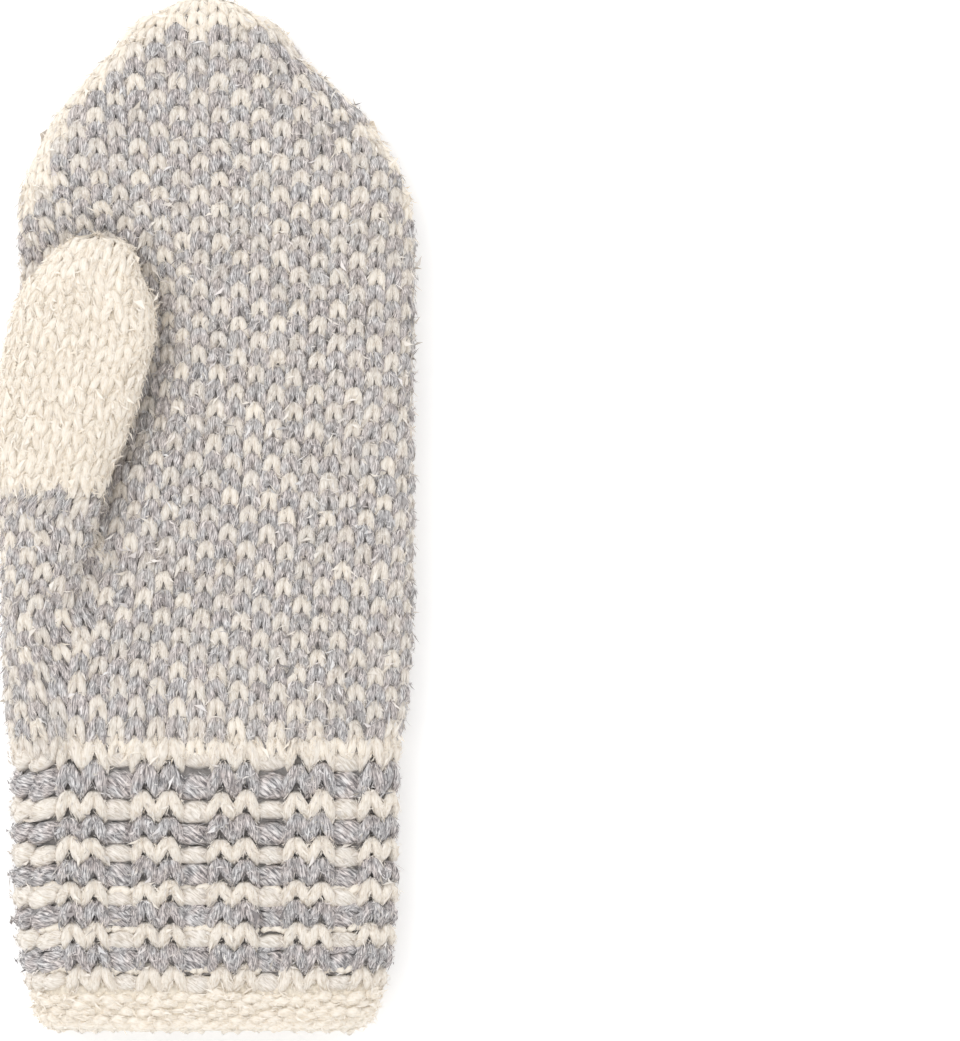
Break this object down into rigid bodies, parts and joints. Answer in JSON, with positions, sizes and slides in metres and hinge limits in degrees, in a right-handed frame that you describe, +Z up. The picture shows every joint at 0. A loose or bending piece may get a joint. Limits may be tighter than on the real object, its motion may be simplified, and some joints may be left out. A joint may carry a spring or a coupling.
{
  "type": "wool mitten",
  "caption": "Hand-knitted wool mitten for the left hand, lying palm up: rolled welt, ribbed cuff, speckled two-colour hand, plain thumb, open and hollow inside.",
  "frame": {"origin": "middle of the mitten's outline, on the surface that it lies on", "axes": "+X across the hand towards the little finger's side, +Y from the wrist edge to the fingertips, +Z up out of the palm"},
  "size_m": [0.1107, 0.273, 0.0316],
  "materials": {
    "cream_wool": "knitted undyed wool, fuzzy",
    "striped_wool": "knitted wool, one-row stripes of grey heather and cream",
    "patterned_wool": "stranded knitted wool, grey heather and cream",
    "woven_label": "woven tape, satin"
  },
  "bodies": {
    "root": {"welt": "cream_wool", "cuff": "striped_wool", "hand": "patterned_wool", "thumb": "cream_wool", "label": "woven_label"}
  },
  "joints": []
}
